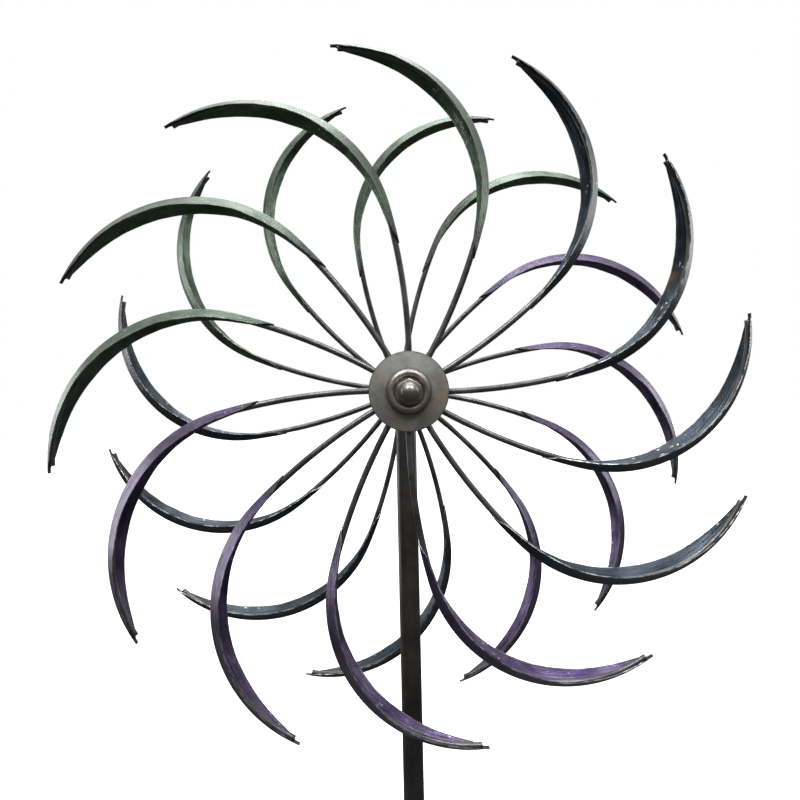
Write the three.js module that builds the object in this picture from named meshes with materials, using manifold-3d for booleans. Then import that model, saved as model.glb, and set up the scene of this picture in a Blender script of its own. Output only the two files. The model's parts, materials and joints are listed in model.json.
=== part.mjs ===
// Kinetic wind sculpture: two rotors of twelve crescent blades turn freely on one axle, one
// on each side of a pole, and sweep opposite ways. A two-pronged fork holds the pole upright.
// Millimetres, +Z up. The origin is on the ground line, under the pole, and the front faces -Y.

import * as THREE from 'three';
import { mergeVertices } from 'three/addons/utils/BufferGeometryUtils.js';
import Module from 'manifold-3d';

const degrees = Math.PI / 180;
const GAP = 0.3; // between solids that touch on the real object

// Rotors. The blades of a rotor are alike: a round rod leaves the hub along a radius in a gentle
// bend and goes on into a tight one, with a sheet leaf folded lengthwise over its outer side.
const TIP_RADIUS = 305;
const HUB_HEIGHT = 1370;
const ROD_PLANE = 76; // from the pole's axis to the plane of a rotor's rods
const BLADE_COUNT = 12;
const BLADE_PITCH = 360 / BLADE_COUNT;
const ROD_RADIUS = 2.6;
const ROD_SIDES = 6;
const GENTLE_RADIUS = 1.62 * TIP_RADIUS;
const TIGHT_RADIUS = 0.39 * TIP_RADIUS;
const TIGHT_TURN = 107.5 * degrees;

// Distances along a rod from the hub's centre. The rod is cut into steps at the same places as
// the leaf, so that the two never touch.
const GENTLE_LENGTH = 0.528 * TIP_RADIUS;
const ROD_END = GENTLE_LENGTH + TIGHT_RADIUS * TIGHT_TURN;
const LEAF_START = 0.415 * TIP_RADIUS;
const LEAF_STEPS = 11;
const ROOT_STEPS = 4;

// The leaf's section is a trough that opens towards the arc's centre. Its spine lies on the
// rod's outer side, its lip leans away from the pole and its flank leans towards the pole.
const SHEET = 1;
const SPINE_TILT = 4.5 * degrees; // how far the spine turns towards the pole
const ARM_ANGLE = 38.5 * degrees; // between the spine and each arm
const FRONT_LEAF = { lip: 20.5, flank: 16.5 };
const REAR_LEAF = { lip: 18.5, flank: 14.5 };
const LEAF_END_WIDTH = 1.4;
const LEAF_TIP = 6; // length of leaf past the rod's end
const LEAF_TIP_SCALE = 0.45;

// Each rotor's first blade, seen from the front, counter-clockwise from +X in degrees. The
// others follow it clockwise, evenly spaced.
const FRONT_FIRST = 56.5;
const REAR_FIRST = 115;

// Hub, measured outwards from the pole's axis along the axle.
const DISC_RADIUS = 34;
const DISC_THICK = 2;
const DISC_BACK = ROD_PLANE + ROD_RADIUS + GAP;
const SLEEVE_RADIUS = 16;
const SLEEVE_BORE = 12;
const SLEEVE_PROUD = 2;
const SLEEVE_END = DISC_BACK + DISC_THICK + SLEEVE_PROUD;
const AXLE_RADIUS = 6;
const AXLE_HOLE = AXLE_RADIUS + GAP;
const HEAD_HALF = 28.3; // half the length of the head's cross tube
const HEAD_RADIUS = 12;
const BUSH_FLANGE = 1.6;
const BUSH_FLANGE_RADIUS = 15;

// Dished washer with a rounded bead, and the domed nut that sits inside the bead.
const WASHER_BASE = SLEEVE_END + GAP;
const WASHER_RADIUS = 19;
const WASHER_WEB = 1.3;
const BEAD_HEIGHT = 4;
const BEAD_WIDTH = 7.4;
const NUT_BASE = WASHER_BASE + WASHER_WEB + GAP;
const NUT_ACROSS_FLATS = 19;
const NUT_HEX_HEIGHT = 6;
const NUT_DOME_RADIUS = 8.4;
const NUT_HEIGHT = 16.5;
const NUT_HOLE_DEPTH = 12;
const NUT_CHAMFER = 1.2;

// Stand.
const POLE_RADIUS = 9.5;
const POLE_BORE = 8;
const SPIGOT_RADIUS = POLE_BORE - GAP;
const SPIGOT_LENGTH = 50;
const NECK_WALL = 1.5;
const COLLAR_DROP = 16; // from the axle down to where the head rests on the pole
const POLE_JOINT = 690;
const STEP_BAR = { length: 150, width: 24, thick: 5 };
const PRONG_SPACING = 110;
const PRONG_RADIUS = 4.5;
const PRONG_LENGTH = 230;
const PRONG_POINT = 30;
const ROUND_SIDES = 24;
const DISC_SIDES = 32;

const COLOURS = {
  green: 0x4f6b55,
  blue: 0x3f4f60,
  purple: 0x4b4066,
};
const FRONT_COLOURS = bladeColours({ green: [1, 10, 11, 12], blue: [2, 3, 4, 5], purple: [6, 7, 8, 9] });
const REAR_COLOURS = bladeColours({ green: [1, 2, 11, 12], purple: [3, 4, 5, 6], blue: [7, 8, 9, 10] });

const manifold = await Module();
manifold.setup();

// ---- Helpers

function bladeColours(groups) {
  const colours = [];
  for (const [name, numbers] of Object.entries(groups)) {
    for (const number of numbers) colours[number - 1] = COLOURS[name];
  }
  return colours;
}

function namedMesh(name, geometry, colour, roughness, metalness) {
  const material = new THREE.MeshStandardMaterial({ color: colour, roughness, metalness });
  const mesh = new THREE.Mesh(geometry, material);
  mesh.name = name;
  return mesh;
}

function toSolid(geometry) {
  const bare = geometry.clone();
  bare.deleteAttribute('normal');
  bare.deleteAttribute('uv');
  const merged = mergeVertices(bare);
  return new manifold.Manifold(new manifold.Mesh({
    numProp: 3,
    vertProperties: Float32Array.from(merged.attributes.position.array),
    triVerts: Uint32Array.from(merged.index.array),
  }));
}

function toGeometry(solid) {
  const mesh = solid.getMesh();
  const geometry = new THREE.BufferGeometry();
  geometry.setAttribute('position', new THREE.BufferAttribute(mesh.vertProperties, 3));
  geometry.setIndex(new THREE.BufferAttribute(mesh.triVerts, 1));
  geometry.computeVertexNormals();
  return geometry;
}

// A turned piece. The outline is a list of [radius, distance along Y], counter-clockwise, that
// closes on itself or starts and ends on the axis.
function turned(outline, sides = ROUND_SIDES) {
  const points = outline.map(([radius, along]) => new THREE.Vector2(radius, along));
  if (outline[0][0] > 0) points.push(points[0].clone());
  return new THREE.LatheGeometry(points, sides);
}

function turnedUpright(outline, sides = ROUND_SIDES) {
  return turned(outline, sides).rotateX(Math.PI / 2);
}

function pointOnCircle(radius, angle) {
  return new THREE.Vector2(radius * Math.cos(angle), radius * Math.sin(angle));
}

// ---- Blades, in a frame with +X along the root's radius, +Y away from the pole, and the
// sweep towards -Z

// How far the rod has turned at a distance along it.
function rodTurn(along) {
  const gentle = Math.min(along, GENTLE_LENGTH) / GENTLE_RADIUS;
  const tight = Math.max(along - GENTLE_LENGTH, 0) / TIGHT_RADIUS;
  return gentle + tight;
}

function rodPoint(along) {
  const gentle = rodTurn(Math.min(along, GENTLE_LENGTH));
  const turn = rodTurn(along);
  const outwards = GENTLE_RADIUS * Math.sin(gentle)
    + TIGHT_RADIUS * (Math.sin(turn) - Math.sin(gentle));
  const sideways = GENTLE_RADIUS * (1 - Math.cos(gentle))
    + TIGHT_RADIUS * (Math.cos(gentle) - Math.cos(turn));
  return new THREE.Vector3(outwards, 0, -sideways);
}

function leafStepAlong(step) {
  return THREE.MathUtils.lerp(LEAF_START, ROD_END, step / LEAF_STEPS);
}

class RodPath extends THREE.Curve {
  getPoint(t) {
    const step = t * (ROOT_STEPS + LEAF_STEPS);
    if (step > ROOT_STEPS) return rodPoint(leafStepAlong(step - ROOT_STEPS));
    return rodPoint(THREE.MathUtils.lerp(SLEEVE_RADIUS + GAP, LEAF_START, step / ROOT_STEPS));
  }

  getUtoTmapping(u) {
    return u;
  }
}

function rodGeometry() {
  const section = new THREE.Shape();
  for (let side = 0; side < ROD_SIDES; side += 1) {
    const corner = pointOnCircle(ROD_RADIUS, 2 * Math.PI * side / ROD_SIDES);
    if (side === 0) section.moveTo(corner.x, corner.y);
    else section.lineTo(corner.x, corner.y);
  }
  const steps = ROOT_STEPS + LEAF_STEPS;
  return new THREE.ExtrudeGeometry(section, { steps, extrudePath: new RodPath() });
}

// One face of the sheet, from the lip's rim to the flank's edge, as [outward, away from the
// pole] about the rod's centre. reach is the face's distance from that centre.
function troughFace(reach, lip, flank) {
  const lipNormal = ARM_ANGLE - SPINE_TILT;
  const flankNormal = -ARM_ANGLE - SPINE_TILT;
  const cornerReach = reach / Math.cos(ARM_ANGLE / 2);
  const lipCorner = pointOnCircle(cornerReach, lipNormal - ARM_ANGLE / 2);
  const flankCorner = pointOnCircle(cornerReach, flankNormal + ARM_ANGLE / 2);
  return [
    pointOnCircle(lip, lipNormal + Math.PI / 2).add(lipCorner),
    lipCorner,
    flankCorner,
    pointOnCircle(flank, flankNormal - Math.PI / 2).add(flankCorner),
  ];
}

function leafSection(leaf, fullness, scale) {
  const lip = THREE.MathUtils.lerp(LEAF_END_WIDTH, leaf.lip, fullness);
  const flank = THREE.MathUtils.lerp(LEAF_END_WIDTH, leaf.flank, fullness);
  const inner = troughFace(ROD_RADIUS + GAP, lip, flank);
  const outer = troughFace(ROD_RADIUS + GAP + SHEET, lip, flank);
  const spine = pointOnCircle(ROD_RADIUS + GAP + SHEET, -SPINE_TILT);
  const section = [...outer, ...inner.reverse()];
  return section.map((point) => point.sub(spine).multiplyScalar(scale).add(spine));
}

function leafRing(leaf, along, fullness, scale = 1) {
  const turn = rodTurn(along);
  const centre = rodPoint(along);
  const outward = new THREE.Vector3(Math.sin(turn), 0, Math.cos(turn));
  return leafSection(leaf, fullness, scale).map((point) => new THREE.Vector3(0, point.y, 0)
    .addScaledVector(outward, point.x)
    .add(centre));
}

// A closed skin over a row of rings that all have the same number of points.
function skinOverRings(rings, endFaces) {
  const size = rings[0].length;
  const index = [];
  for (let ring = 0; ring < rings.length - 1; ring += 1) {
    for (let corner = 0; corner < size; corner += 1) {
      const here = ring * size + corner;
      const beside = ring * size + (corner + 1) % size;
      index.push(here, beside, here + size, beside, beside + size, here + size);
    }
  }
  const last = (rings.length - 1) * size;
  for (const [a, b, c] of endFaces) {
    index.push(a, c, b);
    index.push(last + a, last + b, last + c);
  }
  const geometry = new THREE.BufferGeometry().setFromPoints(rings.flat());
  geometry.setIndex(index);
  geometry.computeVertexNormals();
  return geometry;
}

// The leaf is widest a little past its middle and thins out to both ends. leaf holds the widths
// of its lip and its flank.
function leafGeometry(leaf) {
  const rings = [];
  for (let step = 0; step <= LEAF_STEPS; step += 1) {
    const share = Math.sin(Math.PI * (step / LEAF_STEPS) ** 1.1);
    rings.push(leafRing(leaf, leafStepAlong(step), Math.max(share, 0) ** 0.62));
  }
  rings.push(leafRing(leaf, ROD_END + LEAF_TIP, 0, LEAF_TIP_SCALE));
  // The section's eight corners run round the outer face and back along the inner one.
  const endFaces = [[0, 1, 6], [0, 6, 7], [1, 2, 5], [1, 5, 6], [2, 3, 4], [2, 4, 5]];
  return skinOverRings(rings, endFaces);
}

// ---- Hub pieces, with the distance away from the pole along +Y

function hubGeometry() {
  const sleeveStart = HEAD_HALF + GAP + BUSH_FLANGE + GAP;
  return turned([
    [SLEEVE_BORE, sleeveStart],
    [SLEEVE_RADIUS, sleeveStart],
    [SLEEVE_RADIUS, DISC_BACK],
    [DISC_RADIUS, DISC_BACK],
    [DISC_RADIUS, DISC_BACK + DISC_THICK],
    [SLEEVE_RADIUS, DISC_BACK + DISC_THICK],
    [SLEEVE_RADIUS, SLEEVE_END],
    [SLEEVE_BORE, SLEEVE_END],
  ], DISC_SIDES);
}

function bushGeometry() {
  const start = HEAD_HALF + GAP;
  return turned([
    [AXLE_HOLE, start],
    [BUSH_FLANGE_RADIUS, start],
    [BUSH_FLANGE_RADIUS, start + BUSH_FLANGE],
    [SLEEVE_BORE - GAP, start + BUSH_FLANGE],
    [SLEEVE_BORE - GAP, SLEEVE_END - GAP],
    [AXLE_HOLE, SLEEVE_END - GAP],
  ]);
}

function washerGeometry() {
  const beadCentre = WASHER_RADIUS - BEAD_WIDTH / 2;
  const beadSteps = 6;
  const outline = [[AXLE_HOLE, WASHER_BASE]];
  for (let step = 0; step <= beadSteps; step += 1) {
    const angle = Math.PI * step / beadSteps;
    const rise = Math.max(BEAD_HEIGHT * Math.sin(angle), step === beadSteps ? WASHER_WEB : 0);
    outline.push([beadCentre + BEAD_WIDTH / 2 * Math.cos(angle), WASHER_BASE + rise]);
  }
  outline.push([AXLE_HOLE, WASHER_BASE + WASHER_WEB]);
  return turned(outline);
}

function nutOutside() {
  const cornerRadius = NUT_ACROSS_FLATS / Math.sqrt(3);
  const hexTop = NUT_BASE + NUT_HEX_HEIGHT;
  const hex = new THREE.CylinderGeometry(cornerRadius, cornerRadius, NUT_HEX_HEIGHT, 6);
  hex.translate(0, NUT_BASE + NUT_HEX_HEIGHT / 2, 0);
  const chamfer = turned([
    [0, NUT_BASE],
    [cornerRadius, NUT_BASE],
    [cornerRadius, hexTop - NUT_CHAMFER / 2],
    [NUT_ACROSS_FLATS / 2 - NUT_CHAMFER, hexTop],
    [0, hexTop],
  ]);
  const domeSteps = 5;
  const dome = [[0, NUT_BASE + 1], [NUT_DOME_RADIUS, NUT_BASE + 1]];
  for (let step = 0; step <= domeSteps; step += 1) {
    const angle = Math.PI / 2 * step / domeSteps;
    const radius = step === domeSteps ? 0 : NUT_DOME_RADIUS * Math.cos(angle);
    const rise = (NUT_HEIGHT - NUT_HEX_HEIGHT) * Math.sin(angle);
    dome.push([radius, hexTop + rise]);
  }
  return toSolid(hex).intersect(toSolid(chamfer)).add(toSolid(turned(dome)));
}

function capNutGeometry() {
  const hole = turned([
    [0, NUT_BASE - 1],
    [AXLE_HOLE, NUT_BASE - 1],
    [AXLE_HOLE, NUT_BASE + NUT_HOLE_DEPTH],
    [0, NUT_BASE + NUT_HOLE_DEPTH],
  ]);
  return toGeometry(nutOutside().subtract(toSolid(hole)));
}

// The axle is a bolt from the back with a domed head like the nut, and it ends inside the nut.
function axleGeometry() {
  const shank = turned([
    [0, -(NUT_BASE + NUT_HOLE_DEPTH - 1)],
    [AXLE_RADIUS, -(NUT_BASE + NUT_HOLE_DEPTH - 1)],
    [AXLE_RADIUS, NUT_BASE + 1],
    [0, NUT_BASE + 1],
  ]);
  return toGeometry(nutOutside().add(toSolid(shank)));
}

function pivotHeadGeometry() {
  const crossTube = turned([
    [0, -HEAD_HALF],
    [HEAD_RADIUS, -HEAD_HALF],
    [HEAD_RADIUS, HEAD_HALF],
    [0, HEAD_HALF],
  ]);
  const stem = turnedUpright([
    [0, -COLLAR_DROP - SPIGOT_LENGTH],
    [SPIGOT_RADIUS, -COLLAR_DROP - SPIGOT_LENGTH],
    [SPIGOT_RADIUS, -COLLAR_DROP],
    [POLE_RADIUS, -COLLAR_DROP],
    [POLE_RADIUS, 0],
    [0, 0],
  ]);
  const hole = turned([
    [0, -HEAD_HALF - 1],
    [AXLE_HOLE, -HEAD_HALF - 1],
    [AXLE_HOLE, HEAD_HALF + 1],
    [0, HEAD_HALF + 1],
  ]);
  return toGeometry(toSolid(crossTube).add(toSolid(stem)).subtract(toSolid(hole)));
}

// ---- Stand pieces, about the upright axis

function poleUpperGeometry() {
  const top = HUB_HEIGHT - COLLAR_DROP - GAP;
  return turnedUpright([
    [POLE_BORE, POLE_JOINT],
    [POLE_RADIUS, POLE_JOINT],
    [POLE_RADIUS, top],
    [POLE_BORE, top],
  ]);
}

// The lower tube is necked at its top, and the upper tube slides over the neck.
function poleLowerGeometry() {
  const shoulder = POLE_JOINT - GAP;
  const neckBore = SPIGOT_RADIUS - NECK_WALL;
  const bottom = STEP_BAR.thick + GAP;
  return turnedUpright([
    [POLE_BORE, bottom],
    [POLE_RADIUS, bottom],
    [POLE_RADIUS, shoulder],
    [SPIGOT_RADIUS, shoulder],
    [SPIGOT_RADIUS, shoulder + SPIGOT_LENGTH],
    [neckBore, shoulder + SPIGOT_LENGTH],
    [neckBore, shoulder - NECK_WALL],
    [POLE_BORE, shoulder - 2 * NECK_WALL],
  ]);
}

function forkGeometry() {
  const bar = new THREE.BoxGeometry(STEP_BAR.length, STEP_BAR.width, STEP_BAR.thick);
  bar.translate(0, 0, STEP_BAR.thick / 2);
  const spigot = turnedUpright([
    [0, STEP_BAR.thick / 2],
    [SPIGOT_RADIUS, STEP_BAR.thick / 2],
    [SPIGOT_RADIUS, STEP_BAR.thick + SPIGOT_LENGTH],
    [0, STEP_BAR.thick + SPIGOT_LENGTH],
  ]);
  let fork = toSolid(bar).add(toSolid(spigot));
  for (const side of [-1, 1]) {
    const prong = turnedUpright([
      [0, -PRONG_LENGTH],
      [PRONG_RADIUS, PRONG_POINT - PRONG_LENGTH],
      [PRONG_RADIUS, STEP_BAR.thick / 2],
      [0, STEP_BAR.thick / 2],
    ]);
    prong.translate(side * PRONG_SPACING / 2, 0, 0);
    fork = fork.add(toSolid(prong));
  }
  return toGeometry(fork);
}

// ---- Assembly

// A rotor is built with its outer side towards +Y. bladeAngle is as seen from the front in
// that frame.
function addRotor(parent, name, leaf, bladeAngle, colours) {
  parent.add(namedMesh(`${name}_hub`, hubGeometry(), 0x696966, 0.45, 0.8));
  parent.add(namedMesh(`${name}_bush`, bushGeometry(), 0x8a6a3c, 0.4, 0.8));
  for (let blade = 0; blade < BLADE_COUNT; blade += 1) {
    const number = String(blade + 1).padStart(2, '0');
    const arm = new THREE.Group();
    arm.position.y = ROD_PLANE;
    arm.rotation.y = -bladeAngle(blade) * degrees;
    arm.add(namedMesh(`${name}_rod_${number}`, rodGeometry(), 0x35363a, 0.4, 0.85));
    arm.add(namedMesh(`${name}_leaf_${number}`, leafGeometry(leaf), colours[blade], 0.35, 0.8));
    parent.add(arm);
  }
}

function addHead(parent) {
  parent.add(namedMesh('pivot_head', pivotHeadGeometry(), 0x2a2624, 0.5, 0.7));
  parent.add(namedMesh('axle_bolt', axleGeometry(), 0x55524a, 0.3, 0.9));
  parent.add(namedMesh('rear_cup_washer', washerGeometry(), 0x76665e, 0.35, 0.85));
  const front = new THREE.Group();
  front.rotation.z = Math.PI;
  front.add(namedMesh('front_cup_washer', washerGeometry(), 0x76665e, 0.35, 0.85));
  front.add(namedMesh('front_cap_nut', capNutGeometry(), 0x55524a, 0.25, 0.9));
  parent.add(front);
}

function addStand(parent) {
  parent.add(namedMesh('ground_fork', forkGeometry(), 0x2a2624, 0.55, 0.6));
  parent.add(namedMesh('pole_lower', poleLowerGeometry(), 0x2a2624, 0.5, 0.7));
  parent.add(namedMesh('pole_upper', poleUpperGeometry(), 0x2a2624, 0.5, 0.7));
}

const sculpture = new THREE.Group();
const head = new THREE.Group();
head.position.z = HUB_HEIGHT;
const frontRotor = new THREE.Group();
frontRotor.rotation.z = Math.PI; // the front rotor is the rear one turned about the pole

addStand(sculpture);
addHead(head);
addRotor(
  head,
  'rear',
  REAR_LEAF,
  (blade) => REAR_FIRST - BLADE_PITCH * blade,
  REAR_COLOURS,
);
addRotor(
  frontRotor,
  'front',
  FRONT_LEAF,
  (blade) => 180 - FRONT_FIRST + BLADE_PITCH * blade,
  FRONT_COLOURS,
);
head.add(frontRotor);
sculpture.add(head);

export default sculpture;
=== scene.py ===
import bpy
import json
from math import atan2, cos, pi, radians, sin
from mathutils import Matrix, Vector


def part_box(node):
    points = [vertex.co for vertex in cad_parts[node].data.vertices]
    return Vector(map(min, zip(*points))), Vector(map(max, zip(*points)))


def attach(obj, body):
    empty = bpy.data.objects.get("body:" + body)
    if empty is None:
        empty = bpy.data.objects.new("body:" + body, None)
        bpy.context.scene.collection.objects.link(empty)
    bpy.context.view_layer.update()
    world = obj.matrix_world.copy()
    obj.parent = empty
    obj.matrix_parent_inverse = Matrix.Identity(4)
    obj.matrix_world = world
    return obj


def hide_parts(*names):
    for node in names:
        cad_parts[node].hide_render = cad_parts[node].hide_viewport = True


# Wind spinner: two rotors of folded crescent leaves on bent rods, on a slim pole.
# Metres. The front rotor faces -Y and the ground line is z = 0.

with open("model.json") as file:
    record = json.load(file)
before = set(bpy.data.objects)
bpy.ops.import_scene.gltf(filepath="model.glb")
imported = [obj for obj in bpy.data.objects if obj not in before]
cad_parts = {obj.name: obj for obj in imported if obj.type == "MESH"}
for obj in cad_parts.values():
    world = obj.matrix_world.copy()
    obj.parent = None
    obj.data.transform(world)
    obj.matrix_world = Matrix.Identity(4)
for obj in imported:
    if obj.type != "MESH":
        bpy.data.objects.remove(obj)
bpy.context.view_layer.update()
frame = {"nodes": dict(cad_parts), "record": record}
nodes = frame["nodes"]
slotOf = {part["node"]: part["material_slot"] for part in frame["record"]["subparts"]}

hubLow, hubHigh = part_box("rear_hub")
axleHeight = (hubLow.z + hubHigh.z) / 2
axleCentre = Vector((0, 0, axleHeight))
print("frame loaded, axle at", round(axleHeight, 3))


# ---------- small tools

def deselectAll():
    if bpy.context.object and bpy.context.object.mode != 'OBJECT':
        bpy.ops.object.mode_set(mode='OBJECT')
    bpy.ops.object.select_all(action='DESELECT')


def pickOnly(piece):
    deselectAll()
    piece.select_set(True)
    bpy.context.view_layer.objects.active = piece


def applyPlace(piece):
    pickOnly(piece)
    bpy.ops.object.transform_apply(location=True, rotation=True, scale=True)


def applyModifier(piece, kind, **settings):
    pickOnly(piece)
    modifier = piece.modifiers.new(kind.title(), kind)
    for key, value in settings.items():
        setattr(modifier, key, value)
    bpy.ops.object.modifier_apply(modifier=modifier.name)


def bevelEdges(piece, width, segments=2, angle=30):
    applyModifier(piece, 'BEVEL', width=width, segments=segments,
                  limit_method='ANGLE', angle_limit=radians(angle))


def shadeSmooth(piece, angle=35):
    pickOnly(piece)
    bpy.ops.object.shade_smooth_by_angle(angle=radians(angle))


def copyPiece(piece, name, placement):
    pickOnly(piece)
    bpy.ops.object.duplicate()
    twin = bpy.context.object
    twin.name = name
    twin.matrix_world = placement
    applyPlace(twin)
    return twin


def joinPieces(pieces, name):
    pickOnly(pieces[0])
    for piece in pieces[1:]:
        piece.select_set(True)
    bpy.ops.object.join()
    whole = bpy.context.object
    whole.name = name
    return whole


def setDown(piece, body, material, replaced=None):
    piece.data.materials.clear()
    piece.data.materials.append(material)
    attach(piece, body)
    if replaced:
        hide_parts(replaced)


def turnOutline(name, outline, axis='Y', centre=axleCentre, steps=64):
    # one vertex is extruded along the outline of (radius, along), then spun about the axis
    along = Vector((0, 1, 0)) if axis == 'Y' else Vector((0, 0, 1))
    deselectAll()
    bpy.ops.mesh.primitive_plane_add(size=0.001)
    piece = bpy.context.object
    piece.name = name
    bpy.ops.object.mode_set(mode='EDIT')
    bpy.ops.mesh.merge(type='CENTER')
    start = Vector((outline[0][0], 0, 0)) + along * outline[0][1] + centre
    bpy.ops.transform.translate(value=start)
    stops = outline if outline[0][0] == 0 else outline + outline[:1]
    for (radius, place), (nextRadius, nextPlace) in zip(stops, stops[1:]):
        step = Vector((nextRadius - radius, 0, 0)) + along * (nextPlace - place)
        bpy.ops.mesh.extrude_vertices_move(TRANSFORM_OT_translate={"value": step})
    bpy.ops.mesh.select_all(action='SELECT')
    bpy.ops.mesh.spin(steps=steps, angle=2 * pi, center=centre, axis=along)
    bpy.ops.mesh.select_all(action='SELECT')
    bpy.ops.mesh.remove_doubles(threshold=1e-6)
    bpy.ops.mesh.normals_make_consistent(inside=False)
    bpy.ops.object.mode_set(mode='OBJECT')
    return piece


halfTurn = Matrix.Rotation(pi, 4, 'Z')


# ---------- finishes

def newFinish(name, metallic, roughness=0.4):
    finish = bpy.data.materials.new(name)
    finish.use_nodes = True
    shader = finish.node_tree.nodes["Principled BSDF"]
    shader.inputs["Metallic"].default_value = metallic
    shader.inputs["Roughness"].default_value = roughness
    return finish


def addNode(finish, kind, links=None, **settings):
    # settings are the node's own values, links go from a socket of another node to an input
    node = finish.node_tree.nodes.new(kind)
    for key, value in settings.items():
        if key in node.inputs:
            node.inputs[key].default_value = value
        else:
            setattr(node, key, value)
    for inputName, socket in (links or {}).items():
        finish.node_tree.links.new(socket, node.inputs[inputName])
    return node


def linkShader(finish, **links):
    shader = finish.node_tree.nodes["Principled BSDF"]
    for inputName, socket in links.items():
        finish.node_tree.links.new(socket, shader.inputs[inputName.replace("_", " ")])


def coordinates(finish, kind="Object", stretch=(1, 1, 1)):
    source = addNode(finish, "ShaderNodeTexCoord")
    mapping = addNode(finish, "ShaderNodeMapping", {"Vector": source.outputs[kind]}, Scale=stretch)
    return mapping.outputs["Vector"]


def noise(finish, where, scale, detail=4.0, rough=0.55):
    node = addNode(finish, "ShaderNodeTexNoise", {"Vector": where},
                   Scale=scale, Detail=detail, Roughness=rough)
    return node.outputs["Fac"]


def remap(finish, value, low, high, toLow=0.0, toHigh=1.0):
    node = addNode(finish, "ShaderNodeMapRange")
    finish.node_tree.links.new(value, node.inputs["Value"])
    for key, number in (("From Min", low), ("From Max", high), ("To Min", toLow), ("To Max", toHigh)):
        node.inputs[key].default_value = number
    return node.outputs["Result"]


def multiply(finish, first, second):
    node = addNode(finish, "ShaderNodeMath", operation='MULTIPLY')
    finish.node_tree.links.new(first, node.inputs[0])
    finish.node_tree.links.new(second, node.inputs[1])
    return node.outputs[0]


def blendColour(finish, factor, first, second):
    # first and second are colours or sockets
    node = addNode(finish, "ShaderNodeMix", data_type='RGBA')
    finish.node_tree.links.new(factor, node.inputs["Factor"])
    for inputIndex, colour in ((6, first), (7, second)):
        if isinstance(colour, tuple):
            node.inputs[inputIndex].default_value = (*colour, 1)
        else:
            finish.node_tree.links.new(colour, node.inputs[inputIndex])
    return node.outputs[2]


def bump(finish, height, distance, strength=1.0, under=None):
    links = {"Height": height}
    if under:
        links["Normal"] = under
    node = addNode(finish, "ShaderNodeBump", links, Strength=strength, Distance=distance)
    return node.outputs["Normal"]


leafPaint = {
    "steel": (0.048, 0.048, 0.051),
    "worn": (0.30, 0.30, 0.30),
    # pale silver for patches that are painted highlights, partly bare-metal wear
    "silver_highlight_and_wear": (0.52, 0.52, 0.53),
    "bronze": (0.150, 0.085, 0.045),
    "metallic": 0.82,
    "roughness": (0.26, 0.46),
    "tints": {
        "leaf_green": ((0.026, 0.058, 0.031), (0.106, 0.152, 0.104)),
        "leaf_blue": ((0.011, 0.017, 0.026), (0.040, 0.056, 0.072)),
        "leaf_purple": ((0.042, 0.027, 0.084), (0.130, 0.101, 0.188)),
    },
}


def leafFinish(name):
    # tinted metallic lacquer over dark steel, thinner at the leaf's two ends and on its rims
    look = leafPaint
    deep, bright = look["tints"][name]
    finish = newFinish(name, look["metallic"])
    sheet = addNode(finish, "ShaderNodeSeparateXYZ", {"Vector": coordinates(finish, "UV")})
    across, along = sheet.outputs["X"], sheet.outputs["Y"]
    place = coordinates(finish)
    cloud = remap(finish, noise(finish, place, 34, 5, 0.6), 0.36, 0.66)
    streaks = noise(finish, coordinates(finish, "UV", (26, 5, 1)), 1.0, 6, 0.65)
    streakFactor = remap(finish, streaks, 0.40, 0.68)
    colour = blendColour(finish, cloud, deep, bright)
    colour = blendColour(finish, multiply(finish, streakFactor, cloud), colour, bright)
    rootFade = remap(finish, along, 0.0, 0.12)
    tipFade = remap(finish, along, 1.0, 0.86)
    ragged = remap(finish, noise(finish, place, 90, 4), 0.25, 0.55, 0.35, 1.0)
    tinted = multiply(finish, multiply(finish, rootFade, tipFade), ragged)
    colour = blendColour(finish, tinted, look["steel"], colour)
    rubbed = remap(finish, noise(finish, place, 21, 3), 0.70, 0.78)
    colour = blendColour(finish, rubbed, colour, look["bronze"])
    nearRim = addNode(finish, "ShaderNodeMath", operation='PINGPONG')
    finish.node_tree.links.new(across, nearRim.inputs[0])
    nearRim.inputs[1].default_value = 0.5
    rim = remap(finish, nearRim.outputs[0], 0.035, 0.0)
    wear = multiply(finish, rim, remap(finish, noise(finish, place, 160, 3), 0.42, 0.62))
    colour = blendColour(finish, wear, colour, look["worn"])
    # pale silver patches along the leaf: painted highlights, partly bare-metal wear
    patches = remap(finish, noise(finish, coordinates(finish, "UV", (7, 30, 1)), 1.0, 4, 0.6),
                    0.63, 0.70)
    patchArea = remap(finish, noise(finish, place, 16, 2), 0.49, 0.58)
    colour = blendColour(finish, multiply(finish, patches, patchArea), colour, look["silver_highlight_and_wear"])
    roughness = remap(finish, streaks, 0.30, 0.70, *look["roughness"])
    grain = bump(finish, noise(finish, place, 420, 3), 0.0002, 0.15)
    creases = bump(finish, noise(finish, coordinates(finish, "UV", (11, 3, 1)), 1.0, 3, 0.5),
                   0.0030, 0.55, grain)
    dents = bump(finish, noise(finish, place, 42, 3, 0.5), 0.0016, 0.55, creases)
    linkShader(finish, Base_Color=colour, Roughness=roughness, Normal=dents)
    return finish


def paintedSteel(name, dark, light, metallic, roughness, grainScale=300, patch=None):
    # satin paint on steel with faint clouding, and rubbed warm patches where patch is given
    finish = newFinish(name, metallic)
    place = coordinates(finish)
    cloud = remap(finish, noise(finish, place, 45, 5, 0.6), 0.34, 0.68)
    colour = blendColour(finish, cloud, dark, light)
    if patch:
        warm = remap(finish, noise(finish, place, 38, 3), 0.50, 0.66, 0.0, 0.55)
        colour = blendColour(finish, warm, colour, patch)
    rough = remap(finish, noise(finish, place, 120, 4), 0.3, 0.7, *roughness)
    normal = bump(finish, noise(finish, place, grainScale, 3), 0.00025, 0.45)
    linkShader(finish, Base_Color=colour, Roughness=rough, Normal=normal)
    return finish


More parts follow.
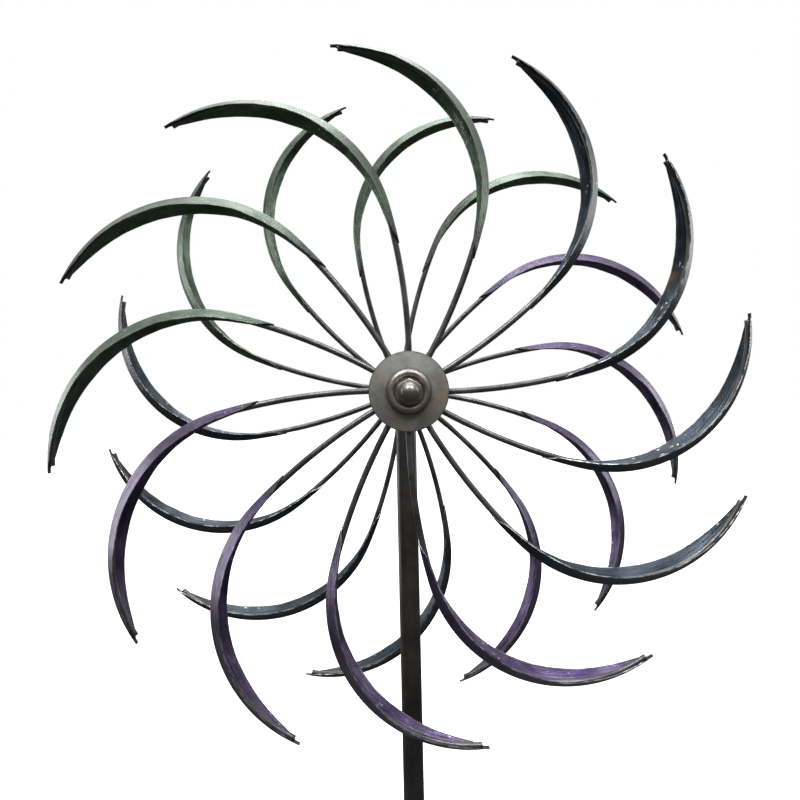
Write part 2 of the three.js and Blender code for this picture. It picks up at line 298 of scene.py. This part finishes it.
def discFinish():
    # grey satin disc with rubbed warm patches, a darker band at its rim and a painted contact shadow
    # round the washer
    look = {"dark": (0.140, 0.141, 0.134), "light": (0.215, 0.216, 0.204),
            "warm": (0.280, 0.215, 0.145), "rim_dark_and_painted_shadow": (0.022, 0.019, 0.018),
            "rim": (0.0328, 0.0339), "collar": (0.0201, 0.0190)}
    finish = newFinish("hub_gunmetal", 0.55)
    place = coordinates(finish)
    cloud = remap(finish, noise(finish, place, 60, 6, 0.65), 0.34, 0.66)
    colour = blendColour(finish, cloud, look["dark"], look["light"])
    warm = remap(finish, noise(finish, place, 42, 4, 0.6), 0.50, 0.64, 0.0, 0.7)
    colour = blendColour(finish, warm, colour, look["warm"])
    fromAxle = addNode(finish, "ShaderNodeVectorMath", operation='MULTIPLY_ADD')
    finish.node_tree.links.new(place, fromAxle.inputs[0])
    fromAxle.inputs[1].default_value = (1, 0, 1)
    fromAxle.inputs[2].default_value = (0, 0, -axleHeight)
    radius = addNode(finish, "ShaderNodeVectorMath", {0: fromAxle.outputs[0]}, operation='LENGTH')
    # darker band at the disc's rim, then a painted contact shadow in the ring (collar) round the
    # washer's bead
    for low, high in (look["rim"], look["collar"]):
        share = remap(finish, radius.outputs["Value"], low, high, 0.0, 0.8)
        colour = blendColour(finish, share, colour, look["rim_dark_and_painted_shadow"])
    rough = remap(finish, noise(finish, place, 150, 4), 0.3, 0.7, 0.40, 0.58)
    normal = bump(finish, noise(finish, place, 500, 3), 0.00025, 0.5)
    linkShader(finish, Base_Color=colour, Roughness=rough, Normal=normal)
    return finish


leafFinishes = {name: leafFinish(name) for name in leafPaint["tints"]}
rodFinish = paintedSteel("rod_gunmetal", (0.045, 0.045, 0.046), (0.140, 0.140, 0.140), 0.72,
                         (0.26, 0.40), 500, (0.060, 0.052, 0.046))
hubFinish = discFinish()
washerFinish = paintedSteel("washer_brown_steel", (0.190, 0.160, 0.145), (0.370, 0.335, 0.315),
                            0.85, (0.30, 0.48), 360, (0.27, 0.185, 0.160))
nutFinish = paintedSteel("nut_dark_nickel", (0.165, 0.158, 0.140), (0.290, 0.278, 0.248), 0.90,
                         (0.32, 0.42), 600)
bushFinish = paintedSteel("bush_bronze", (0.200, 0.120, 0.050), (0.360, 0.230, 0.110), 0.90,
                          (0.30, 0.45))
poleFinish = paintedSteel("pole_black_brown", (0.022, 0.019, 0.017), (0.042, 0.037, 0.033), 0.45,
                          (0.28, 0.42), 650)
weldFinish = paintedSteel("weld_grey", (0.060, 0.058, 0.056), (0.160, 0.150, 0.140), 0.80,
                          (0.35, 0.60), 700, (0.12, 0.08, 0.05))
print("finishes made")


# ---------- blade rods

tipRadius = 0.305
rod = {
    "radius": 0.0026,
    "sides": 20,
    "start": 0.0163,                      # along the rod from the hub's centre
    "gentleLength": 0.528 * tipRadius,
    "gentleRadius": 1.62 * tipRadius,
    "gentleSteps": 16,
    "tightRadius": 0.39 * tipRadius,
    "tightTurn": radians(107.5),
    "tightSteps": 52,
    "endBevel": 0.0005,
}
rodEnd = rod["gentleLength"] + rod["tightRadius"] * rod["tightTurn"]


def rodTurn(along):
    gentle = min(along, rod["gentleLength"]) / rod["gentleRadius"]
    return gentle + max(along - rod["gentleLength"], 0) / rod["tightRadius"]


def rodPoint(along):
    gentle = rodTurn(min(along, rod["gentleLength"]))
    turn = rodTurn(along)
    outwards = rod["gentleRadius"] * sin(gentle) + rod["tightRadius"] * (sin(turn) - sin(gentle))
    sideways = (rod["gentleRadius"] * (1 - cos(gentle))
                + rod["tightRadius"] * (cos(gentle) - cos(turn)))
    return Vector((outwards, 0, -sideways))


def bendCentre(along, radius):
    turn = rodTurn(along)
    return rodPoint(along) - radius * Vector((sin(turn), 0, cos(turn)))


def bendRod():
    # a ring at the hub is swept round the gentle bend and then round the tight one
    startTurn = rodTurn(rod["start"])
    gentleTurn = rodTurn(rod["gentleLength"])
    deselectAll()
    bpy.ops.mesh.primitive_circle_add(vertices=rod["sides"], radius=rod["radius"],
                                      location=rodPoint(rod["start"]),
                                      rotation=(0, pi / 2 + startTurn, 0))
    master = bpy.context.object
    applyPlace(master)
    bpy.ops.object.mode_set(mode='EDIT')
    bpy.ops.mesh.select_all(action='SELECT')
    bpy.ops.mesh.spin(steps=rod["gentleSteps"], angle=startTurn - gentleTurn,
                      center=bendCentre(0, rod["gentleRadius"]), axis=(0, 1, 0))
    bpy.ops.mesh.spin(steps=rod["tightSteps"], angle=-rod["tightTurn"],
                      center=bendCentre(rod["gentleLength"], rod["tightRadius"]), axis=(0, 1, 0))
    bpy.ops.mesh.select_all(action='SELECT')
    bpy.ops.mesh.remove_doubles(threshold=1e-6)
    bpy.ops.mesh.fill_holes(sides=0)
    bpy.ops.mesh.select_all(action='SELECT')
    bpy.ops.mesh.normals_make_consistent(inside=False)
    bpy.ops.object.mode_set(mode='OBJECT')
    bevelEdges(master, rod["endBevel"], angle=60)
    shadeSmooth(master)
    return master


def bladePlace(rotor, number):
    # the CAD rod's inner end says at which angle this blade leaves the hub
    points = [vertex.co for vertex in nodes[f"{rotor}_rod_{number:02d}"].data.vertices]
    offsets = [point - axleCentre for point in points]
    nearest = min(Vector((offset.x, offset.z)).length for offset in offsets)
    inner = [offset for offset in offsets
             if Vector((offset.x, offset.z)).length < nearest + 2 * rod["radius"]]
    middle = sum(inner, Vector()) / len(inner)
    facing = halfTurn if rotor == "front" else Matrix.Identity(4)
    outwards = facing.inverted() @ middle
    innerEnd = rodPoint(rod["start"])
    angle = atan2(-outwards.z, outwards.x) - atan2(-innerEnd.z, innerEnd.x)
    return (Matrix.Translation(axleCentre) @ facing @ Matrix.Rotation(angle, 4, 'Y')
            @ Matrix.Translation((0, outwards.y, 0)))


blades = [(rotor, number) for rotor in ("front", "rear") for number in range(1, 13)]
rodMaster = bendRod()
for rotor, number in blades:
    node = f"{rotor}_rod_{number:02d}"
    twin = copyPiece(rodMaster, f"{node}_wire", bladePlace(rotor, number))
    setDown(twin, f"{rotor}_rotor", rodFinish, node)
bpy.data.objects.remove(rodMaster)
print("rods bent")


# ---------- blade leaves

leaf = {
    "across": 26,          # faces from the lip's rim to the flank's edge
    "along": 120,
    "sheet": 0.0008,
    "tilt": radians(4.5),  # the spine turns this far towards the pole
    "arm": radians(38.5),
    "widths": {"front": (0.0203, 0.0163), "rear": (0.0183, 0.0143)},  # lip, flank
    "endWidth": 0.0012,
    "start": 0.415 * tipRadius,
    "tipPast": 0.0058,     # length past the rod's end
    "wrapShare": 0.16,     # share of the width that wraps round the rod
    "curl": 0.0020,
    "dent": 0.0016,
    "crumple": 0.0006,
}


def ease(value, low, high):
    share = min(1.0, max(0.0, (value - low) / (high - low)))
    return share * share * (3 - 2 * share)


def leafPoint(rotor, across, along):
    # a flat blank's place across and along becomes a place on the folded, bent sheet
    length = rodEnd + leaf["tipPast"] - leaf["start"]
    widthEnd = 1 - leaf["tipPast"] / length
    place = leaf["start"] + length * along
    fullness = max(0.0, sin(pi * min(1.0, along / widthEnd) ** 1.1)) ** 0.62
    opened = (0.25 + 0.75 * ease(along, 0.0, 0.05)) * (1 - 0.5 * ease(along, widthEnd - 0.02, 1))
    reach = rod["radius"] + leaf["sheet"] / 2 + 0.00005
    side = across - 0.5
    half = leaf["wrapShare"] / 2
    share = min(1.0, abs(side) / half) * (1 if side < 0 else -1)
    normal = leaf["arm"] * opened * share - leaf["tilt"]
    arm = max(0.0, (abs(side) - half) / (0.5 - half))
    width = leaf["widths"][rotor][0 if side < 0 else 1]
    armLength = arm * (leaf["endWidth"] + (width - leaf["endWidth"]) * fullness)
    lean = normal + (pi / 2 if side < 0 else -pi / 2)
    lift = reach + leaf["curl"] * (armLength / width) ** 2
    outward = lift * cos(normal) + armLength * cos(lean)
    away = lift * sin(normal) + armLength * sin(lean)
    turn = rodTurn(place)
    return rodPoint(place) + Vector((outward * sin(turn), away, outward * cos(turn)))


def foldLeaf(rotor):
    deselectAll()
    bpy.ops.mesh.primitive_grid_add(x_subdivisions=leaf["across"], y_subdivisions=leaf["along"],
                                    size=1, calc_uvs=True)
    master = bpy.context.object
    loose = master.vertex_groups.new(name="loose")
    for vertex in master.data.vertices:
        across = vertex.co.x + 0.5
        along = vertex.co.y + 0.5
        vertex.co = leafPoint(rotor, across, along)
        free = ease(abs(across - 0.5), leaf["wrapShare"] / 2, 0.5) * sin(pi * along) ** 0.5
        loose.add([vertex.index], max(0.0, free), 'REPLACE')
    return master


def denting(name, size, depth):
    texture = bpy.data.textures.new(name, 'CLOUDS')
    texture.noise_scale = size
    texture.noise_depth = depth
    return texture


broadDents = denting("broadDents", 0.030, 1)
fineDents = denting("fineDents", 0.009, 3)
leafMasters = {rotor: foldLeaf(rotor) for rotor in leaf["widths"]}
for rotor, number in blades:
    node = f"{rotor}_leaf_{number:02d}"
    twin = copyPiece(leafMasters[rotor], f"{node}_sheet", bladePlace(rotor, number))
    applyModifier(twin, 'DISPLACE', texture=broadDents, strength=leaf["dent"],
                  texture_coords='LOCAL', vertex_group="loose")
    applyModifier(twin, 'DISPLACE', texture=fineDents, strength=leaf["crumple"],
                  texture_coords='LOCAL', vertex_group="loose")
    applyModifier(twin, 'SOLIDIFY', thickness=leaf["sheet"], offset=0.0)
    shadeSmooth(twin, 50)
    setDown(twin, f"{rotor}_rotor", leafFinishes[slotOf[node]], node)
for master in leafMasters.values():
    bpy.data.objects.remove(master)
print("leaves folded")


# ---------- hubs, bushes, washers, nuts

hub = {
    "discRadius": (hubHigh.x - hubLow.x) / 2,
    "discBack": hubHigh.y - 0.0040,
    "discThick": 0.0020,
    "sleeveRadius": 0.0160,
    "bore": 0.0120,
    "start": hubLow.y,
    "end": hubHigh.y,
}


def makeHub():
    piece = turnOutline("rear_hub_turned", [
        (hub["bore"], hub["start"]),
        (hub["sleeveRadius"], hub["start"]),
        (hub["sleeveRadius"], hub["discBack"]),
        (hub["discRadius"], hub["discBack"]),
        (hub["discRadius"], hub["discBack"] + hub["discThick"]),
        (hub["sleeveRadius"], hub["discBack"] + hub["discThick"]),
        (hub["sleeveRadius"], hub["end"]),
        (hub["bore"], hub["end"]),
    ], steps=96)
    bevelEdges(piece, 0.0004)
    shadeSmooth(piece)
    return piece


def makeWelds():
    # a short bead on each side of every rod where it lies on the disc
    weld = {"length": 0.0052, "width": 0.0016, "radii": (0.0205, 0.0290), "lift": 0.0012}
    beads = []
    for number in range(1, 13):
        place = bladePlace("rear", number)
        for radius in weld["radii"]:
            for side in (-1, 1):
                deselectAll()
                bpy.ops.mesh.primitive_ico_sphere_add(subdivisions=3, radius=1)
                bead = bpy.context.object
                bead.matrix_world = place @ Matrix.Translation(
                    (radius, weld["lift"], side * rod["radius"])) @ Matrix.Diagonal(
                    (weld["length"] / 2, weld["width"], weld["width"], 1))
                applyPlace(bead)
                beads.append(bead)
    piece = joinPieces(beads, "rear_weld_beads")
    applyModifier(piece, 'DISPLACE', texture=denting("weldRipple", 0.0022, 2), strength=0.0006,
                  texture_coords='LOCAL')
    shadeSmooth(piece, 60)
    return piece


def makeBush():
    flange = {"radius": 0.0150, "thick": 0.0016}
    low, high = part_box("rear_bush")
    start, end = low.y, high.y
    piece = turnOutline("rear_bush_turned", [
        (0.0062, start),
        (flange["radius"], start),
        (flange["radius"], start + flange["thick"]),
        (hub["bore"] - 0.0001, start + flange["thick"]),
        (hub["bore"] - 0.0001, end),
        (0.0062, end),
    ])
    bevelEdges(piece, 0.0003)
    shadeSmooth(piece)
    return piece


def makeCupWasher():
    # a flat web with a rounded bead pressed round its rim
    low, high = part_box("rear_cup_washer")
    radius, base, height = high.x, low.y, high.y - low.y
    beadWidth = 0.0074
    web = 0.0013
    outline = [(0.0062, base), (radius, base)]
    beadSteps = 14
    for step in range(1, beadSteps):
        angle = pi * step / beadSteps
        rise = height * sin(angle)
        if angle > pi / 2 and rise < web:
            break
        outline.append((radius - beadWidth / 2 * (1 - cos(angle)), base + rise))
    outline += [(radius - beadWidth, base + web), (0.0062, base + web)]
    piece = turnOutline("rear_cup_washer_turned", outline, steps=96)
    shadeSmooth(piece, 40)
    return piece


def makeNutHead(name):
    # hexagon with turned-down corners, a narrow step and a dome
    low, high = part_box("rear_cup_washer")
    base = low.y + 0.0016
    nut = {"flats": 0.019, "hexHeight": 0.0060, "domeRadius": 0.0084, "height": 0.01645}
    corner = nut["flats"] / 3 ** 0.5
    deselectAll()
    bpy.ops.mesh.primitive_cylinder_add(vertices=6, radius=corner, depth=nut["hexHeight"],
                                        location=(0, base + nut["hexHeight"] / 2, axleHeight),
                                        rotation=(pi / 2, 0, 0))
    hexagon = bpy.context.object
    hexagon.name = name
    applyPlace(hexagon)
    bevelEdges(hexagon, 0.0004, 3)
    top = base + nut["hexHeight"]
    chamfer = turnOutline("chamfer", [
        (0, base - 0.001), (corner, base - 0.001), (corner, top - 0.0010),
        (nut["flats"] / 2 - 0.0006, top), (0, top)])
    cutWith(hexagon, chamfer, 'INTERSECT')
    domeSteps = 14
    outline = [(0, base + 0.001), (nut["domeRadius"], base + 0.001), (nut["domeRadius"], top + 0.0006)]
    for step in range(1, domeSteps):
        angle = pi / 2 * step / domeSteps
        rise = (nut["height"] - nut["hexHeight"] - 0.0006) * sin(angle)
        outline.append((nut["domeRadius"] * cos(angle) ** 0.9, top + 0.0006 + rise))
    outline.append((0, base + nut["height"]))
    dome = turnOutline("dome", outline, steps=64)
    cutWith(hexagon, dome, 'UNION')
    shadeSmooth(hexagon, 28)
    return hexagon


def cutWith(piece, tool, operation):
    applyModifier(piece, 'BOOLEAN', object=tool, operation=operation, solver='EXACT')
    bpy.data.objects.remove(tool)


rearHub = makeHub()
rearWelds = makeWelds()
rearBush = makeBush()
rearWasher = makeCupWasher()
frontNut = copyPiece(makeNutHead("cap_nut_master"), "front_cap_nut_domed", halfTurn)
bpy.data.objects.remove(bpy.data.objects["cap_nut_master"])

setDown(copyPiece(rearHub, "front_hub_turned", halfTurn), "front_rotor", hubFinish, "front_hub")
setDown(rearHub, "rear_rotor", hubFinish, "rear_hub")
setDown(copyPiece(rearBush, "front_bush_turned", halfTurn), "front_rotor", bushFinish, "front_bush")
setDown(rearBush, "rear_rotor", bushFinish, "rear_bush")
setDown(copyPiece(rearWasher, "front_cup_washer_turned", halfTurn), "stand", washerFinish,
        "front_cup_washer")
setDown(rearWasher, "stand", washerFinish, "rear_cup_washer")
setDown(frontNut, "stand", nutFinish, "front_cap_nut")
setDown(rearWelds, "rear_rotor", weldFinish)


def makeAxle():
    head = makeNutHead("axle_bolt_turned")
    low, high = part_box("axle_bolt")
    shank = turnOutline("shank", [(0, low.y), (0.0060, low.y), (0.0060, 0.088), (0, 0.088)], steps=48)
    cutWith(head, shank, 'UNION')
    shadeSmooth(head, 28)
    return head


setDown(makeAxle(), "stand", nutFinish, "axle_bolt")
print("hubs and fastenings turned")


# ---------- head, pole and fork

pole = {"radius": 0.0095, "bore": 0.0080, "bevel": 0.0004, "steps": 64}


def makeHead():
    low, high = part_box("pivot_head")
    tube = {"half": high.y, "radius": 0.0120, "bore": 0.0063}
    collar = axleHeight - 0.016
    piece = turnOutline("pivot_head_welded", [
        (tube["bore"], -tube["half"]), (tube["radius"], -tube["half"]),
        (tube["radius"], tube["half"]), (tube["bore"], tube["half"])])
    bevelEdges(piece, 0.0005)
    stem = turnOutline("stem", [
        (0, low.z), (pole["bore"] - 0.0003, low.z), (pole["bore"] - 0.0003, collar),
        (pole["radius"], collar), (pole["radius"], axleHeight - 0.0075), (0, axleHeight - 0.0075)],
        'Z', Vector())
    cutWith(piece, stem, 'UNION')
    shadeSmooth(piece, 32)
    return piece


def makeSaddleWeld():
    # a ring of weld lifted so that it follows the cross tube's round side
    low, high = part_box("pivot_head")
    tubeRadius = 0.0120
    deselectAll()
    bpy.ops.mesh.primitive_torus_add(major_segments=72, minor_segments=10,
                                     major_radius=pole["radius"], minor_radius=0.0013)
    bead = bpy.context.object
    bead.name = "head_saddle_weld"
    for vertex in bead.data.vertices:
        drop = (tubeRadius ** 2 - min(vertex.co.x ** 2, tubeRadius ** 2 * 0.9)) ** 0.5
        vertex.co.z += axleHeight - drop
    applyModifier(bead, 'DISPLACE', texture=denting("saddleRipple", 0.0025, 2), strength=0.0006,
                  texture_coords='LOCAL')
    shadeSmooth(bead, 60)
    return bead


def makePoleUpper():
    low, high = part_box("pole_upper")
    piece = turnOutline("pole_upper_tube", [
        (pole["bore"], low.z), (pole["radius"], low.z), (pole["radius"], high.z),
        (pole["bore"], high.z)], 'Z', Vector(), pole["steps"])
    bevelEdges(piece, pole["bevel"])
    shadeSmooth(piece)
    return piece


def makePoleLower():
    low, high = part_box("pole_lower")
    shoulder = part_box("pole_upper")[0].z - 0.0003
    neck = pole["bore"] - 0.0002
    piece = turnOutline("pole_lower_tube", [
        (pole["bore"], low.z), (pole["radius"], low.z), (pole["radius"], shoulder - 0.0016),
        (pole["radius"] - 0.0006, shoulder - 0.0003), (neck, shoulder), (neck, high.z),
        (neck - 0.0015, high.z), (neck - 0.0015, shoulder - 0.0015),
        (pole["bore"], shoulder - 0.003)], 'Z', Vector(), pole["steps"])
    bevelEdges(piece, pole["bevel"])
    shadeSmooth(piece)
    return piece


def makeScrew(name, height, side):
    # socket-head screw through the tube's wall, at the side or the back
    screw = {"radius": 0.0026, "proud": 0.0022}
    deselectAll()
    bpy.ops.mesh.primitive_cylinder_add(vertices=32, radius=screw["radius"], depth=0.005)
    piece = bpy.context.object
    piece.name = name
    applyPlace(piece)
    deselectAll()
    bpy.ops.mesh.primitive_cylinder_add(vertices=6, radius=screw["radius"] * 0.55, depth=0.0022,
                                        location=(0, 0, 0.0025))
    socket = bpy.context.object
    applyPlace(socket)
    bevelEdges(piece, 0.0004)
    cutWith(piece, socket, 'DIFFERENCE')
    reach = pole["radius"] + screw["proud"] - 0.0025
    piece.matrix_world = (Matrix.Translation((0, 0, height)) @ Matrix.Rotation(side, 4, 'Z')
                          @ Matrix.Translation((0, -reach, 0)) @ Matrix.Rotation(pi / 2, 4, 'X'))
    applyPlace(piece)
    shadeSmooth(piece, 35)
    return piece


def makeFork():
    low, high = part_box("ground_fork")
    bar = {"length": high.x - low.x, "width": high.y - low.y, "thick": 0.005}
    prong = {"spacing": 0.110, "radius": 0.0045, "point": 0.030}
    deselectAll()
    bpy.ops.mesh.primitive_cube_add(size=1, location=(0, 0, bar["thick"] / 2),
                                    scale=(bar["length"], bar["width"], bar["thick"]))
    step = bpy.context.object
    applyPlace(step)
    bevelEdges(step, 0.0009, 3)
    parts = [step]
    parts.append(turnOutline("spigot", [
        (0, 0.003), (pole["bore"] - 0.0003, 0.003), (pole["bore"] - 0.0003, high.z), (0, high.z)],
        'Z', Vector(), 48))
    for side in (-1, 1):
        centre = Vector((side * prong["spacing"] / 2, 0, 0))
        parts.append(turnOutline("prong", [
            (0, low.z), (0.0012, low.z + 0.002), (prong["radius"], low.z + prong["point"]),
            (prong["radius"], 0.002), (0, 0.002)], 'Z', centre, 40))
        deselectAll()
        bpy.ops.mesh.primitive_torus_add(major_segments=48, minor_segments=10,
                                         major_radius=prong["radius"] + 0.0006,
                                         minor_radius=0.0015, location=centre)
        ring = bpy.context.object
        applyPlace(ring)
        parts.append(ring)
    piece = joinPieces(parts, "ground_fork_welded")
    shadeSmooth(piece, 35)
    return piece


setDown(makeHead(), "stand", poleFinish, "pivot_head")
setDown(makeSaddleWeld(), "stand", poleFinish)
setDown(makePoleUpper(), "stand", poleFinish, "pole_upper")
setDown(makePoleLower(), "stand", poleFinish, "pole_lower")
setDown(makeFork(), "stand", poleFinish, "ground_fork")
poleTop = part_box("pole_upper")[1].z
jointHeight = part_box("pole_upper")[0].z
for name, height, side in (("head_set_screw", poleTop - 0.025, pi),
                           ("joint_screw", jointHeight + 0.025, pi)):
    setDown(makeScrew(name, height, side), "stand", nutFinish)
print("stand made")


# ---------- floor, light and camera

stage = {
    "floor": -0.2355,
    "pale": (0.93, 0.93, 0.93),
    "shade": (0.05, 0.05, 0.05),
    "glow": 0.85,
}


def makeFloor():
    # pale to the eye, but dark to the metal above it, as grass under the sculpture would be
    deselectAll()
    bpy.ops.mesh.primitive_plane_add(size=60, location=(0, 0, stage["floor"]))
    floor = bpy.context.object
    floor.name = "floor"
    finish = newFinish("floor_pale", 0.0, 0.9)
    path = addNode(finish, "ShaderNodeLightPath")
    colour = blendColour(finish, path.outputs["Is Camera Ray"], stage["shade"], stage["pale"])
    glow = remap(finish, path.outputs["Is Camera Ray"], 0.0, 1.0, 0.0, stage["glow"])
    linkShader(finish, Base_Color=colour, Emission_Color=colour, Emission_Strength=glow)
    floor.data.materials.append(finish)


def makeSky():
    # white behind the object; for light, bright overhead and dark below the horizon
    world = bpy.data.worlds.new("studio")
    bpy.context.scene.world = world
    world.use_nodes = True
    tree = world.node_tree
    background = tree.nodes["Background"]
    direction = tree.nodes.new("ShaderNodeTexCoord")
    split = tree.nodes.new("ShaderNodeSeparateXYZ")
    tree.links.new(direction.outputs["Generated"], split.inputs[0])
    ramp = tree.nodes.new("ShaderNodeValToRGB")
    rise = tree.nodes.new("ShaderNodeMapRange")
    rise.inputs["From Min"].default_value = -1
    tree.links.new(split.outputs["Z"], rise.inputs["Value"])
    tree.links.new(rise.outputs["Result"], ramp.inputs["Fac"])
    ramp.color_ramp.elements[0].position = 0.42
    ramp.color_ramp.elements[0].color = (0.02, 0.02, 0.02, 1)
    ramp.color_ramp.elements[1].position = 0.92
    ramp.color_ramp.elements[1].color = (1.4, 1.4, 1.4, 1)
    middle = ramp.color_ramp.elements.new(0.58)
    middle.color = (0.16, 0.16, 0.165, 1)
    path = tree.nodes.new("ShaderNodeLightPath")
    mix = tree.nodes.new("ShaderNodeMix")
    mix.data_type = 'RGBA'
    tree.links.new(path.outputs["Is Camera Ray"], mix.inputs["Factor"])
    tree.links.new(ramp.outputs["Color"], mix.inputs[6])
    mix.inputs[7].default_value = (1, 1, 1, 1)
    tree.links.new(mix.outputs[2], background.inputs["Color"])


def addSoftbox(name, location, target, size, power):
    bpy.ops.object.light_add(type='AREA', location=location)
    lamp = bpy.context.object
    lamp.name = name
    lamp.data.shape = 'DISK'
    lamp.data.size = size
    lamp.data.energy = power
    lamp.rotation_euler = (Vector(target) - Vector(location)).to_track_quat('-Z', 'Y').to_euler()


def addCamera():
    # a phone's lens, close to the hub and level with it
    view = {"lens": 35.05, "sensor": 36, "place": (-0.030, -0.735, 0.003),
            "yaw": -2.86, "pitch": 2.54, "roll": 1.29, "shift": (-0.0141, -0.0587)}
    bpy.ops.object.camera_add(location=Vector(view["place"]) + axleCentre)
    camera = bpy.context.object
    camera.data.lens = view["lens"]
    camera.data.sensor_width = view["sensor"]
    camera.data.shift_x, camera.data.shift_y = view["shift"]
    camera.data.clip_start = 0.01
    turn = (Matrix.Rotation(radians(view["yaw"]), 4, 'Z')
            @ Matrix.Rotation(radians(90 + view["pitch"]), 4, 'X')
            @ Matrix.Rotation(radians(-view["roll"]), 4, 'Z'))
    camera.rotation_euler = turn.to_euler()
    bpy.context.scene.camera = camera


makeFloor()
makeSky()
addSoftbox("key_left", (-0.9, -1.3, 3.5), axleCentre, 1.0, 50)
addSoftbox("key_right", (0.9, -1.5, 3.4), axleCentre, 0.9, 42)
addSoftbox("overhead", (0.1, 0.9, 3.9), axleCentre, 2.0, 50)
addSoftbox("side_left", (-2.3, 1.3, 1.5), axleCentre, 1.6, 19)
addSoftbox("side_right", (2.3, 1.3, 1.9), axleCentre, 1.4, 15)
addCamera()
bpy.context.scene.view_settings.view_transform = 'Standard'
print("stage set")
